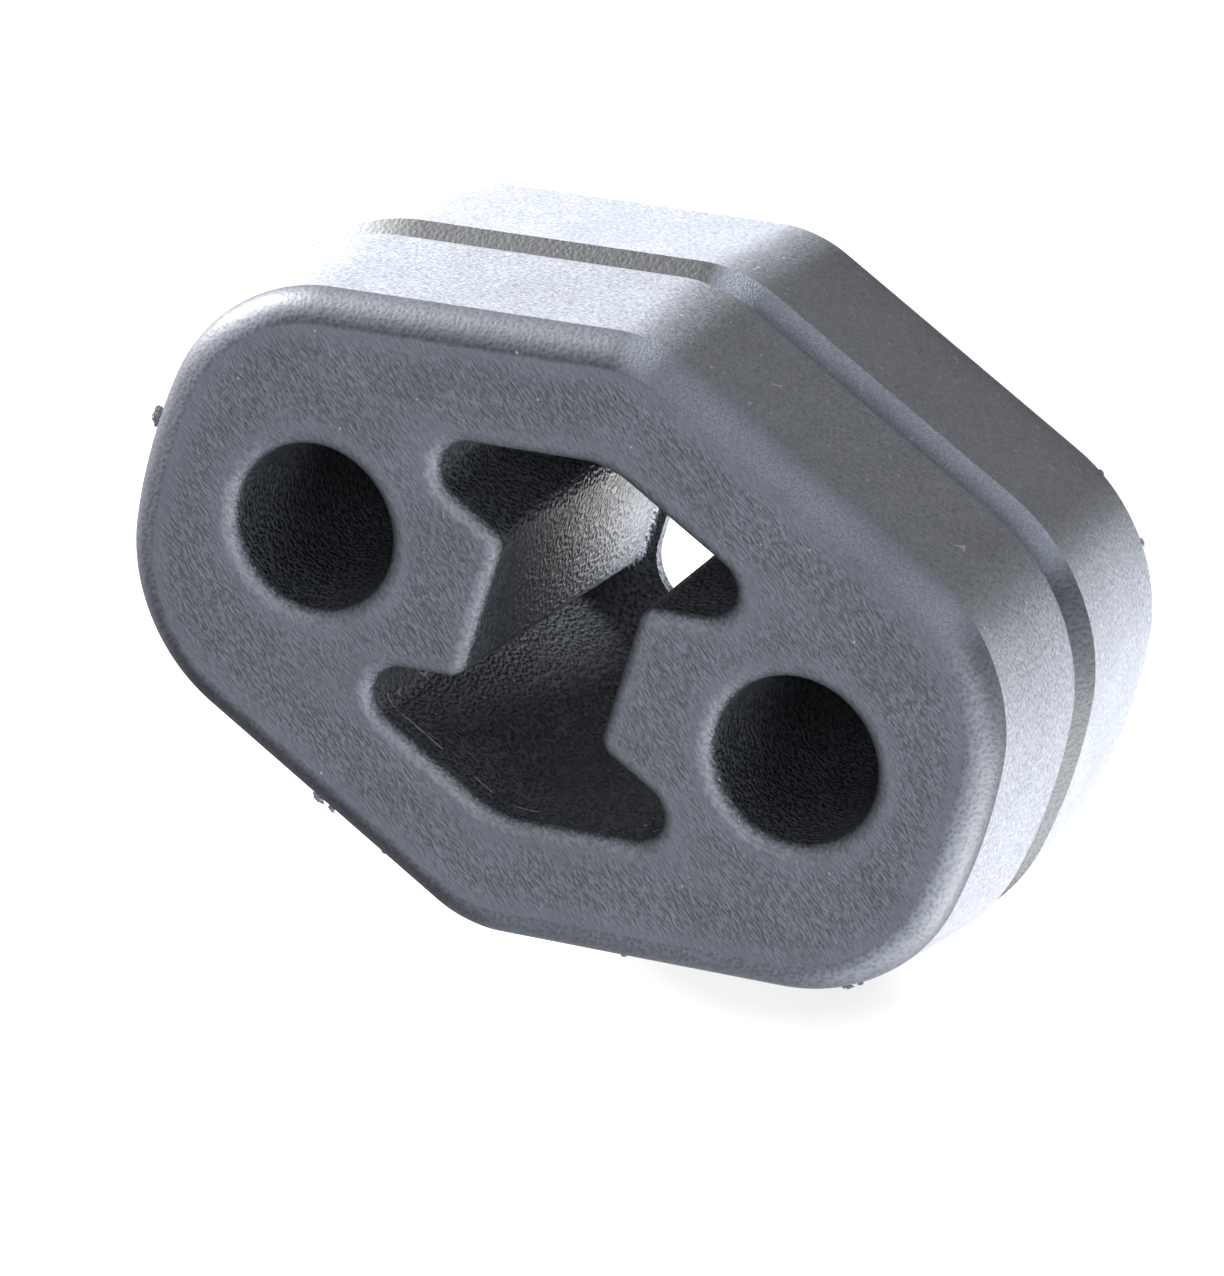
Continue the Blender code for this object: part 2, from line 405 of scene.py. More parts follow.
for key, sides in edge_faces.items():
    if sum(index in flat_front for index in sides) == 1:
        ends = [mesh.vertices[index].co for index in key]
        middle = (ends[0] + ends[1]) / 2.0
        inner = at_window(middle) or math.hypot(abs(middle.x) - bore_x, middle.y) < 0.0072
        rim = hole_rims if inner else outer_rim
        for step in range(5):
            rim.append(ends[0].lerp(ends[1], step / 4.0))


def nearest(points):
    """Lookup of the distance to a set of points."""
    tree = KDTree(len(points))
    for index, point in enumerate(points):
        tree.insert(point, index)
    tree.balance()
    return lambda place: tree.find(place)[2]


def ramp(value, low, high):
    """Smooth step from 0 at low to 1 at high."""
    share = min(1.0, max(0.0, (value - low) / (high - low)))
    return share * share * (3.0 - 2.0 * share)


to_outer_rim = nearest(outer_rim)
to_hole_rim = nearest(hole_rims)
grain = mesh.attributes.new("grain", "FLOAT", "POINT")
for vertex in mesh.vertices:
    if vertex.co.z > block_top - 1e-5:
        grain.data[vertex.index].value = (
            ramp(to_outer_rim(vertex.co), *outer_fade)
            * ramp(to_hole_rim(vertex.co), *hole_fade))

# Which side of the block a place is on, and how far it faces the side that gets painted light
for name in ("fine", "coarse", "painted_light_facing"):
    mesh.attributes.new(name, "FLOAT", "POINT")
fine = mesh.attributes["fine"]
coarse = mesh.attributes["coarse"]
painted_light_facing = mesh.attributes["painted_light_facing"]
for vertex in mesh.vertices:
    painted_light_facing.data[vertex.index].value = vertex.normal.dot(painted_light_way)
    flat_way = Vector((vertex.normal.x, vertex.normal.y, 0.0))
    if flat_way.length > 0.05:
        flat_way.normalize()
        fine.data[vertex.index].value = ramp(flat_way.dot(fine_way), *side_blend)
        coarse.data[vertex.index].value = ramp(flat_way.dot(coarse_way), *side_blend)

FACE_SKIN, ETCHED_SKIN, WALL_SKIN, CORE_SKIN, MOUTH_SKIN = range(5)


def outline_depth(place):
    """How far a place lies inside the widest outline, along the nearer side."""
    x, y = abs(place.x), abs(place.y)
    side = math.radians(side_slope)
    end = math.radians(end_slope)
    to_side = crest_y * math.cos(side) - (x * math.sin(side) + y * math.cos(side))
    to_end = end_x * math.cos(end) - (x * math.cos(end) + y * math.sin(end))
    return min(to_side, to_end)


for face in mesh.polygons:
    centre = face.center
    outside = outline_depth(centre) < wall_reach
    if face.index in flat_front:
        face.material_index = FACE_SKIN
    elif outside and centre.z > rounding_foot:
        face.material_index = ETCHED_SKIN
    elif outside and groove_foot < centre.z < groove_rise and face.normal.z > 0.3:
        face.material_index = ETCHED_SKIN
    elif outside or centre.z < 1e-5:
        face.material_index = WALL_SKIN
    elif centre.z > block_top - mouth_depth and face.normal.z > 0.10:
        face.material_index = MOUTH_SKIN
    else:
        face.material_index = CORE_SKIN
    face.use_smooth = True
deselect_everything()
bpy.context.view_layer.objects.active = rubber_block
rubber_block.select_set(True)
bpy.ops.object.shade_smooth_by_angle(angle=math.radians(35.0))
weigh = rubber_block.modifiers.new("weigh", "WEIGHTED_NORMAL")
weigh.keep_sharp = True
bpy.ops.object.modifier_apply(modifier=weigh.name)


def add_node(tree, kind, **settings):
    """Put one node in a tree and set what is named: properties, or inputs by name."""
    made = tree.nodes.new(kind)
    for name, value in settings.items():
        if hasattr(made, name):
            setattr(made, name, value)
        else:
            made.inputs[name.replace("_", " ")].default_value = value
    return made


def join(tree, *pairs):
    """Wire sockets together, each pair from an output to an input."""
    for source, target in pairs:
        tree.links.new(source, target)


def start_group(name, inputs, output):
    """New shader node group with named float or vector inputs and one output."""
    tree = bpy.data.node_groups.new(name, "ShaderNodeTree")
    for socket, kind, value in inputs:
        made = tree.interface.new_socket(name=socket, in_out="INPUT", socket_type=kind)
        if value is not None:
            made.default_value = value
    tree.interface.new_socket(name=output, in_out="OUTPUT", socket_type="NodeSocketFloat")
    return tree, tree.nodes.new("NodeGroupInput"), tree.nodes.new("NodeGroupOutput")


# Streaks: short ridges that lie one way, each about one size long and wide
streaks, given, result = start_group("streaks", (
    ("Vector", "NodeSocketVector", None),
    ("Rotation", "NodeSocketVector", (0.0, 0.0, 0.0)),
    ("Size", "NodeSocketVector", (0.001, 0.001, 0.001)),
    ("Detail", "NodeSocketFloat", 2.0),
), "Height")
turned = add_node(streaks, "ShaderNodeMapping", vector_type="TEXTURE")
warp = add_node(streaks, "ShaderNodeTexNoise", Scale=0.6, Detail=1.0)
bend = add_node(streaks, "ShaderNodeVectorMath", operation="MULTIPLY_ADD")
bend.inputs[1].default_value = (0.8, 0.8, 0.8)
ridges = add_node(streaks, "ShaderNodeTexNoise", Scale=1.0, Roughness=0.5)
steep = add_node(streaks, "ShaderNodeMapRange", From_Min=0.32, From_Max=0.68)
join(streaks,
     (given.outputs["Vector"], turned.inputs["Vector"]),
     (given.outputs["Rotation"], turned.inputs["Rotation"]),
     (given.outputs["Size"], turned.inputs["Scale"]),
     (turned.outputs["Vector"], warp.inputs["Vector"]),
     (warp.outputs["Color"], bend.inputs[0]),
     (turned.outputs["Vector"], bend.inputs[2]),
     (bend.outputs["Vector"], ridges.inputs["Vector"]),
     (given.outputs["Detail"], ridges.inputs["Detail"]),
     (ridges.outputs["Fac"], steep.inputs["Value"]),
     (steep.outputs["Result"], result.inputs["Height"]))

# Pits: rounded craters that run into each other, as spark erosion leaves in steel
pits, given, result = start_group("pits", (
    ("Vector", "NodeSocketVector", None),
    ("Size", "NodeSocketVector", (0.0003, 0.0003, 0.0003)),
), "Height")
sized = add_node(pits, "ShaderNodeVectorMath", operation="DIVIDE")
craters = add_node(pits, "ShaderNodeTexVoronoi", feature="SMOOTH_F1", Scale=1.0, Smoothness=0.35)
rubble = add_node(pits, "ShaderNodeTexNoise", Scale=1.1, Detail=2.0, Roughness=0.6)
both = add_node(pits, "ShaderNodeMath", operation="ADD")
steep = add_node(pits, "ShaderNodeMapRange", From_Min=0.55, From_Max=1.25)
join(pits,
     (given.outputs["Vector"], sized.inputs[0]),
     (given.outputs["Size"], sized.inputs[1]),
     (sized.outputs["Vector"], craters.inputs["Vector"]),
     (sized.outputs["Vector"], rubble.inputs["Vector"]),
     (craters.outputs["Distance"], both.inputs[0]),
     (rubble.outputs["Fac"], both.inputs[1]),
     (both.outputs["Value"], steep.inputs["Value"]),
     (steep.outputs["Result"], result.inputs["Height"]))

# Specks: a few sharp dots of dust, each cell of a grid showing one or none
specks, given, result = start_group("specks", (
    ("Vector", "NodeSocketVector", None),
    ("Size", "NodeSocketFloat", 0.0011),
    ("Share", "NodeSocketFloat", 0.12),
    ("Radius", "NodeSocketFloat", 0.11),
), "Mask")
sized = add_node(specks, "ShaderNodeVectorMath", operation="SCALE")
finer = add_node(specks, "ShaderNodeMath", operation="DIVIDE")
finer.inputs[0].default_value = 1.0
cells = add_node(specks, "ShaderNodeTexVoronoi", Scale=1.0)
lucky = add_node(specks, "ShaderNodeSeparateColor")
chosen = add_node(specks, "ShaderNodeMath", operation="LESS_THAN")
grown = add_node(specks, "ShaderNodeMath", operation="MULTIPLY")
close = add_node(specks, "ShaderNodeMath", operation="LESS_THAN")
shown = add_node(specks, "ShaderNodeMath", operation="MULTIPLY")
join(specks,
     (given.outputs["Size"], finer.inputs[1]),
     (given.outputs["Vector"], sized.inputs[0]),
     (finer.outputs["Value"], sized.inputs["Scale"]),
     (sized.outputs["Vector"], cells.inputs["Vector"]),
     (cells.outputs["Color"], lucky.inputs["Color"]),
     (lucky.outputs["Red"], chosen.inputs[0]),
     (given.outputs["Share"], chosen.inputs[1]),
     (lucky.outputs["Green"], grown.inputs[0]),
     (given.outputs["Radius"], grown.inputs[1]),
     (cells.outputs["Distance"], close.inputs[0]),
     (grown.outputs["Value"], close.inputs[1]),
     (chosen.outputs["Value"], shown.inputs[0]),
     (close.outputs["Value"], shown.inputs[1]),
     (shown.outputs["Value"], result.inputs["Mask"]))

# Lint: short curled fibres, pieces of a thin contour line that few cells show
lint, given, result = start_group("lint", (
    ("Vector", "NodeSocketVector", None),
    ("Share", "NodeSocketFloat", 0.10),
), "Mask")
curls = add_node(lint, "ShaderNodeTexNoise", Scale=520.0, Detail=0.0)
offset = add_node(lint, "ShaderNodeMath", operation="SUBTRACT")
offset.inputs[1].default_value = 0.5
width = add_node(lint, "ShaderNodeMath", operation="ABSOLUTE")
thin = add_node(lint, "ShaderNodeMath", operation="LESS_THAN")
thin.inputs[1].default_value = 0.012
patches = add_node(lint, "ShaderNodeTexVoronoi", Scale=420.0)
lucky = add_node(lint, "ShaderNodeSeparateColor")
chosen = add_node(lint, "ShaderNodeMath", operation="LESS_THAN")
near = add_node(lint, "ShaderNodeMath", operation="LESS_THAN")
near.inputs[1].default_value = 0.22
piece = add_node(lint, "ShaderNodeMath", operation="MULTIPLY")
shown = add_node(lint, "ShaderNodeMath", operation="MULTIPLY")
join(lint,
     (given.outputs["Vector"], curls.inputs["Vector"]),
     (given.outputs["Vector"], patches.inputs["Vector"]),
     (curls.outputs["Fac"], offset.inputs[0]),
     (offset.outputs["Value"], width.inputs[0]),
     (width.outputs["Value"], thin.inputs[0]),
     (patches.outputs["Color"], lucky.inputs["Color"]),
     (lucky.outputs["Red"], chosen.inputs[0]),
     (given.outputs["Share"], chosen.inputs[1]),
     (patches.outputs["Distance"], near.inputs[0]),
     (chosen.outputs["Value"], piece.inputs[0]),
     (near.outputs["Value"], piece.inputs[1]),
     (thin.outputs["Value"], shown.inputs[0]),
     (piece.outputs["Value"], shown.inputs[1]),
     (shown.outputs["Value"], result.inputs["Mask"]))

# Pin rings: distance from the nearer bore axis, to keep the grain off the core pins
pin_rings, given, result = start_group("pin_rings", (
    ("Vector", "NodeSocketVector", None),
), "Distance")
split = add_node(pin_rings, "ShaderNodeSeparateXYZ")
along = add_node(pin_rings, "ShaderNodeMath", operation="ABSOLUTE")
across = add_node(pin_rings, "ShaderNodeMath", operation="SUBTRACT")
across.inputs[1].default_value = bore_x
flat = add_node(pin_rings, "ShaderNodeCombineXYZ")
reach = add_node(pin_rings, "ShaderNodeVectorMath", operation="LENGTH")
join(pin_rings,
     (given.outputs["Vector"], split.inputs["Vector"]),
     (split.outputs["X"], along.inputs[0]),
     (along.outputs["Value"], across.inputs[0]),
     (across.outputs["Value"], flat.inputs["X"]),
     (split.outputs["Y"], flat.inputs["Y"]),
     (flat.outputs["Vector"], reach.inputs[0]),
     (reach.outputs["Value"], result.inputs["Distance"]))

# Bloom: slow cloudy change in how grey the rubber is
bloom, given, result = start_group("bloom", (
    ("Vector", "NodeSocketVector", None),
    ("Low", "NodeSocketFloat", 0.92),
    ("High", "NodeSocketFloat", 1.08),
), "Shade")
clouds = add_node(bloom, "ShaderNodeTexNoise", Scale=180.0, Detail=4.0, Roughness=0.6)
spread = add_node(bloom, "ShaderNodeMapRange", From_Min=0.3, From_Max=0.7)
join(bloom,
     (given.outputs["Vector"], clouds.inputs["Vector"]),
     (clouds.outputs["Fac"], spread.inputs["Value"]),
     (given.outputs["Low"], spread.inputs["To Min"]),
     (given.outputs["High"], spread.inputs["To Max"]),
     (spread.outputs["Result"], result.inputs["Shade"]))


def use_group(tree, group, **values):
    """Place a node group in a material with its own values."""
    placed = tree.nodes.new("ShaderNodeGroup")
    placed.node_tree = group
    for name, value in values.items():
        placed.inputs[name].default_value = value
    return placed


def start_rubber(name, roughness):
    """New rubber material with its shader and the coordinates all skins use."""
    material = bpy.data.materials.new(name)
    material.use_nodes = True
    tree = material.node_tree
    shader = tree.nodes["Principled BSDF"]
    shader.inputs["Roughness"].default_value = roughness
    shader.inputs["IOR"].default_value = 1.52
    place = tree.nodes.new("ShaderNodeTexCoord")
    return material, tree, shader, place.outputs["Object"]


def relief(tree, height, depth, normal):
    """Bump of a depth in metres between a height and a normal socket."""
    bump = add_node(tree, "ShaderNodeBump", Strength=1.0, Distance=depth)
    join(tree, (height, bump.inputs["Height"]), (bump.outputs["Normal"], normal))


def colour_rubber(tree, shader, place, tint, height, low, high, dust, fibres, painted_light_level=None):
    """Grey with painted shade in the relief's hollows and a painted highlight on its ridges,
    times the bloom and any painted light level, with dust and lint on it.
    """
    # Painted shade and highlight: the grey follows the relief's height, darker low and paler
    # high.
    relief_shade = add_node(tree, "ShaderNodeMapRange", To_Min=low, To_Max=high)
    shade = use_group(tree, bloom)
    share = add_node(tree, "ShaderNodeMath", operation="MULTIPLY")
    grey = add_node(tree, "ShaderNodeVectorMath", operation="SCALE")
    grey.inputs[0].default_value = tint
    dots = use_group(tree, specks, Share=dust)
    hairs = use_group(tree, lint, Share=fibres)
    most = add_node(tree, "ShaderNodeMath", operation="MAXIMUM")
    dusted = add_node(tree, "ShaderNodeMix", data_type="RGBA", B=(0.40, 0.41, 0.43, 1.0))
    # Painted light and shade: the level, when given, scales the grey by side, facing or depth.
    if painted_light_level:
        lifted = add_node(tree, "ShaderNodeMath", operation="MULTIPLY")
        join(tree, (height, relief_shade.inputs["Value"]), (relief_shade.outputs["Result"], lifted.inputs[0]),
             (painted_light_level, lifted.inputs[1]))
        relief_shade = lifted
    else:
        join(tree, (height, relief_shade.inputs["Value"]))
    join(tree,
         (place, shade.inputs["Vector"]),
         (place, dots.inputs["Vector"]),
         (place, hairs.inputs["Vector"]),
         (relief_shade.outputs[0], share.inputs[0]),
         (shade.outputs["Shade"], share.inputs[1]),
         (share.outputs["Value"], grey.inputs["Scale"]),
         (dots.outputs["Mask"], most.inputs[0]),
         (hairs.outputs["Mask"], most.inputs[1]),
         (most.outputs["Value"], dusted.inputs["Factor"]),
         (grey.outputs["Vector"], dusted.inputs["A"]),
         (dusted.outputs["Result"], shader.inputs["Base Color"]))


# Front face: slanted grain that fades out towards every rim and pin ring
grain_turn = (0.0, 0.0, math.radians(-30.0))
face_skin, tree, shader, place = start_rubber("grained_front", 0.50)
ridges = use_group(
    tree, streaks, Rotation=grain_turn, Size=(0.00044, 0.00016, 0.0004), Detail=2.0)
fade = add_node(tree, "ShaderNodeAttribute", attribute_name="grain")
ring = use_group(tree, pin_rings)
clear = add_node(tree, "ShaderNodeMapRange", interpolation_type="SMOOTHSTEP",
                 From_Min=0.0062, From_Max=0.0082)
spread = add_node(tree, "ShaderNodeMath", operation="MULTIPLY")
floor_level = add_node(tree, "ShaderNodeMapRange", To_Min=0.30)
grained = add_node(tree, "ShaderNodeMix", data_type="FLOAT", A=0.62)
join(tree,
     (place, ridges.inputs["Vector"]),
     (place, ring.inputs["Vector"]),
     (ring.outputs["Distance"], clear.inputs["Value"]),
     (fade.outputs["Fac"], spread.inputs[0]),
     (clear.outputs["Result"], spread.inputs[1]),
     (spread.outputs["Value"], floor_level.inputs["Value"]),
     (floor_level.outputs["Result"], grained.inputs["Factor"]),
     (ridges.outputs["Height"], grained.inputs["B"]))
relief(tree, grained.outputs["Result"], 0.00009, shader.inputs["Normal"])
colour_rubber(tree, shader, place, (0.149, 0.163, 0.200), grained.outputs["Result"],
              low=0.62, high=1.38, dust=0.30, fibres=0.05)


def painted_light_by_side(tree, split, coarse_side, left_end, right_end, fine_side):
    """Painted light and shade: a level that changes round the outline, set for how light falls on
    each side.
    """
    along = add_node(tree, "ShaderNodeMapRange", interpolation_type="SMOOTHSTEP",
                     From_Min=-0.030, From_Max=0.030, To_Min=left_end, To_Max=right_end)
    join(tree, (split.outputs["X"], along.inputs["Value"]))
    value = along.outputs["Result"]
    for name, level in (("coarse", coarse_side), ("fine", fine_side)):
        side = add_node(tree, "ShaderNodeAttribute", attribute_name=name)
        mixed = add_node(tree, "ShaderNodeMix", data_type="FLOAT", B=level)
        join(tree,
             (side.outputs["Fac"], mixed.inputs["Factor"]),
             (value, mixed.inputs["A"]))
        value = mixed.outputs["Result"]
    return value


# Front rounding and groove: coarse craters on one side, finer ones on the other. Their greys are
# painted light and shade by side, dark in the groove on the coarse side and pale on the fine
# side, with a painted highlight along the upper edge where it turns to the lit side
etched_skin, tree, shader, place = start_rubber("etched_rounding", 0.58)
craters = use_group(tree, pits, Size=(0.00030, 0.00030, 0.00030))
crumb = use_group(tree, pits, Size=(0.00014, 0.00014, 0.00014))
side = add_node(tree, "ShaderNodeAttribute", attribute_name="fine")
rough = add_node(tree, "ShaderNodeMix", data_type="FLOAT")
split = add_node(tree, "ShaderNodeSeparateXYZ")
# Painted shade and light: in the groove the level drops on the coarse side and rises on the fine
# side.
in_groove = add_node(tree, "ShaderNodeMath", operation="LESS_THAN")
in_groove.inputs[1].default_value = 0.020
painted_light_level = add_node(tree, "ShaderNodeMix", data_type="FLOAT")
# Painted highlight: the upper edge turns paler where it faces the lit side, except on the coarse
# side.
top_edge = add_node(tree, "ShaderNodeMapRange", interpolation_type="SMOOTHSTEP",
                    From_Min=0.0264, From_Max=block_top)
kept_hard = add_node(tree, "ShaderNodeAttribute", attribute_name="coarse")
soft_side = add_node(tree, "ShaderNodeMath", operation="SUBTRACT")
soft_side.inputs[0].default_value = 1.0
tilt = add_node(tree, "ShaderNodeAttribute", attribute_name="painted_light_facing")
facing_lit = add_node(tree, "ShaderNodeMapRange", interpolation_type="SMOOTHSTEP",
                     From_Min=-0.30, From_Max=0.10)
soft_place = add_node(tree, "ShaderNodeMath", operation="MULTIPLY")
painted_edge_light = add_node(tree, "ShaderNodeMath", operation="MULTIPLY")
rounded = add_node(tree, "ShaderNodeMix", data_type="FLOAT", B=1.16)
join(tree,
     (place, craters.inputs["Vector"]),
     (place, crumb.inputs["Vector"]),
     (place, split.inputs["Vector"]),
     (side.outputs["Fac"], rough.inputs["Factor"]),
     (craters.outputs["Height"], rough.inputs["A"]),
     (crumb.outputs["Height"], rough.inputs["B"]),
     (split.outputs["Z"], in_groove.inputs[0]),
     (in_groove.outputs["Value"], painted_light_level.inputs["Factor"]),
     (painted_light_by_side(tree, split, coarse_side=0.12, left_end=0.20, right_end=0.34,
              fine_side=1.90), painted_light_level.inputs["B"]),
     (split.outputs["Z"], top_edge.inputs["Value"]),
     (top_edge.outputs["Result"], painted_edge_light.inputs[0]),
     (kept_hard.outputs["Fac"], soft_side.inputs[1]),
     (tilt.outputs["Fac"], facing_lit.inputs["Value"]),
     (soft_side.outputs["Value"], soft_place.inputs[0]),
     (facing_lit.outputs["Result"], soft_place.inputs[1]),
     (soft_place.outputs["Value"], painted_edge_light.inputs[1]),
     (painted_edge_light.outputs["Value"], rounded.inputs["Factor"]),
     (painted_light_by_side(tree, split, coarse_side=0.48, left_end=0.36, right_end=0.46,
              fine_side=1.52), rounded.inputs["A"]),
     (rounded.outputs["Result"], painted_light_level.inputs["A"]))
relief(tree, rough.outputs["Result"], 0.000014, shader.inputs["Normal"])
colour_rubber(tree, shader, place, (0.120, 0.132, 0.163), rough.outputs["Result"],
              low=0.72, high=1.28, dust=0.08, fibres=0.02, painted_light_level=painted_light_level.outputs["Result"])

# Mouth roundings: smooth where the mould was polished, with a paler grey as painted light.
# Painted shade darkens them deeper into each opening, and painted light brightens the sides that
# face the lit side
mouth_skin, tree, shader, place = start_rubber("polished_mouth", 0.50)
bumps = use_group(
    tree, streaks, Rotation=grain_turn, Size=(0.00045, 0.00025, 0.0003), Detail=1.0)
ragged = use_group(tree, pits, Size=(0.00018, 0.00018, 0.00018))
ragged_edge = add_node(tree, "ShaderNodeMath", operation="MULTIPLY")
ragged_edge.inputs[1].default_value = 0.0005
split = add_node(tree, "ShaderNodeSeparateXYZ")
depth = add_node(tree, "ShaderNodeMath", operation="SUBTRACT")
# Painted shade: the grey falls to 0.16 of itself deeper into each opening.
painted_hole_shade = add_node(tree, "ShaderNodeMapRange", interpolation_type="SMOOTHSTEP",
                From_Min=0.0260, From_Max=0.0269, To_Min=0.16)
tilt = add_node(tree, "ShaderNodeAttribute", attribute_name="painted_light_facing")
# Painted light: paler on the sides that face the lit side, darker on the others.
facing_lit = add_node(tree, "ShaderNodeMapRange",
                     From_Min=-0.60, From_Max=0.60, To_Min=0.42, To_Max=1.24)
painted_light_level = add_node(tree, "ShaderNodeMath", operation="MULTIPLY")
join(tree,
     (place, bumps.inputs["Vector"]),
     (place, ragged.inputs["Vector"]),
     (place, split.inputs["Vector"]),
     (ragged.outputs["Height"], ragged_edge.inputs[0]),
     (split.outputs["Z"], depth.inputs[0]),
     (ragged_edge.outputs["Value"], depth.inputs[1]),
     (depth.outputs["Value"], painted_hole_shade.inputs["Value"]),
     (tilt.outputs["Fac"], facing_lit.inputs["Value"]),
     (painted_hole_shade.outputs["Result"], painted_light_level.inputs[0]),
     (facing_lit.outputs["Result"], painted_light_level.inputs[1]))
relief(tree, bumps.outputs["Height"], 0.00003, shader.inputs["Normal"])
colour_rubber(tree, shader, place, (0.190, 0.207, 0.250), bumps.outputs["Height"],
              low=0.78, high=1.22, dust=0.10, fibres=0.02, painted_light_level=painted_light_level.outputs["Value"])

# Walls: fine streaks along the parting. Their grey, paler than the face, is painted sheen;
# painted light makes them paler behind the groove and on the coarse side, painted shade darker on
# the fine side and where they face away from the lit side
wall_skin, tree, shader, place = start_rubber("tapered_wall", 0.46)
lines = use_group(tree, streaks, Size=(0.00028, 0.00028, 0.00014), Detail=4.0)
split = add_node(tree, "ShaderNodeSeparateXYZ")
# Painted light: the walls behind the groove are paler.
behind = add_node(tree, "ShaderNodeMath", operation="LESS_THAN")
behind.inputs[1].default_value = groove_root
painted_light_by_height = add_node(tree, "ShaderNodeMix", data_type="FLOAT")
tilt = add_node(tree, "ShaderNodeAttribute", attribute_name="painted_light_facing")
# Painted shade: walls that face away from the lit side fall to 0.26 of their grey.
painted_facing_shade = add_node(tree, "ShaderNodeMapRange", interpolation_type="SMOOTHSTEP",
                       From_Min=-0.72, From_Max=-0.26, To_Min=0.26)
painted_light_level = add_node(tree, "ShaderNodeMath", operation="MULTIPLY")
join(tree,
     (place, lines.inputs["Vector"]),
     (place, split.inputs["Vector"]),
     (split.outputs["Z"], behind.inputs[0]),
     (behind.outputs["Value"], painted_light_by_height.inputs["Factor"]),
     (painted_light_by_side(tree, split, coarse_side=1.20, left_end=1.08, right_end=1.24,
              fine_side=0.86), painted_light_by_height.inputs["A"]),
     (painted_light_by_side(tree, split, coarse_side=1.46, left_end=1.30, right_end=1.60,
              fine_side=0.86), painted_light_by_height.inputs["B"]),
     (tilt.outputs["Fac"], painted_facing_shade.inputs["Value"]),
     (painted_light_by_height.outputs["Result"], painted_light_level.inputs[0]),
     (painted_facing_shade.outputs["Result"], painted_light_level.inputs[1]))
relief(tree, lines.outputs["Height"], 0.00002, shader.inputs["Normal"])
colour_rubber(tree, shader, place, (0.206, 0.218, 0.248), lines.outputs["Height"],
              low=0.64, high=1.36, dust=1.00, fibres=0.18, painted_light_level=painted_light_level.outputs["Value"])

# Bores, window and web: pitted where the cores were drawn, with a broken witness
# line where the loose core met the mould, 2.2 mm below the front face
witness_height = 0.02512
witness_half_width = 0.000035
witness_side_y = -0.0094
core_skin, tree, shader, place = start_rubber("cored_wall", 0.50)
holes = use_group(tree, pits, Size=(0.00028, 0.00034, 0.00034))
split = add_node(tree, "ShaderNodeSeparateXYZ")
level = add_node(tree, "ShaderNodeMath", operation="SUBTRACT")
level.inputs[1].default_value = witness_height
off_level = add_node(tree, "ShaderNodeMath", operation="ABSOLUTE")
on_line = add_node(tree, "ShaderNodeMath", operation="LESS_THAN")
on_line.inputs[1].default_value = witness_half_width
breaks = add_node(tree, "ShaderNodeTexNoise", Scale=420.0, Detail=1.0)
whole = add_node(tree, "ShaderNodeMath", operation="GREATER_THAN")
whole.inputs[1].default_value = 0.47
near_side = add_node(tree, "ShaderNodeMath", operation="LESS_THAN")
near_side.inputs[1].default_value = witness_side_y
shown = add_node(tree, "ShaderNodeMath", operation="MULTIPLY")
witness = add_node(tree, "ShaderNodeMath", operation="MULTIPLY")
join(tree,
     (place, holes.inputs["Vector"]),
     (place, split.inputs["Vector"]),
     (place, breaks.inputs["Vector"]),
     (split.outputs["Z"], level.inputs[0]),
     (level.outputs["Value"], off_level.inputs[0]),
     (off_level.outputs["Value"], on_line.inputs[0]),
     (breaks.outputs["Fac"], whole.inputs[0]),
     (split.outputs["Y"], near_side.inputs[0]),
     (whole.outputs["Value"], shown.inputs[0]),
     (near_side.outputs["Value"], shown.inputs[1]),
     (shown.outputs["Value"], witness.inputs[0]),
     (on_line.outputs["Value"], witness.inputs[1]))
relief(tree, holes.outputs["Height"], 0.00015, shader.inputs["Normal"])
colour_rubber(tree, shader, place, (0.038, 0.042, 0.050), holes.outputs["Height"],
              low=0.25, high=1.95, dust=0.03, fibres=0.02)
grey = shader.inputs["Base Color"].links[0].from_socket
lined = add_node(tree, "ShaderNodeMix", data_type="RGBA", B=(0.55, 0.56, 0.58, 1.0))
join(tree,
     (grey, lined.inputs["A"]),
     (witness.outputs["Value"], lined.inputs["Factor"]),
     (lined.outputs["Result"], shader.inputs["Base Color"]))

for skin in (face_skin, etched_skin, wall_skin, core_skin, mouth_skin):
    mesh.materials.append(skin)
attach(rubber_block, "root")
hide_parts("hanger_body")


# Flash left on the edges
# Crumbs and small torn flakes of rubber that hang on where the mould leaked and
# the flash was tumbled off. Each is a bead worked into a ragged flake.
crumbs = (
    # place, half sizes along, out and through, turn about the upright axis
    ((-0.03022, 0.00190, 0.02600), (0.00058, 0.00034, 0.00008), 93.0),
    ((-0.03016, 0.00245, 0.02606), (0.00022, 0.00030, 0.00007), 80.0),
    ((-0.01215, -0.01790, 0.02628), (0.00044, 0.00022, 0.00010), -16.7),
    ((-0.01105, -0.01814, 0.02640), (0.00026, 0.00014, 0.00008), -30.0),
    ((0.02513, -0.01335, 0.02565), (0.00040, 0.00014, 0.00008), 30.0),
    ((0.02590, -0.01270, 0.02572), (0.00020, 0.00010, 0.00008), 38.0),
    ((0.02740, 0.01143, 0.00042), (0.00030, 0.00010, 0.00008), -52.0),
    ((0.02335, 0.01474, 0.00050), (0.00022, 0.00008, 0.00008), -30.0),
    ((0.01070, -0.01832, 0.02612), (0.00020, 0.00009, 0.00006), 16.7),
    ((-0.00690, -0.01951, 0.02604), (0.00016, 0.00008, 0.00006), -16.7),
)
nubs = []
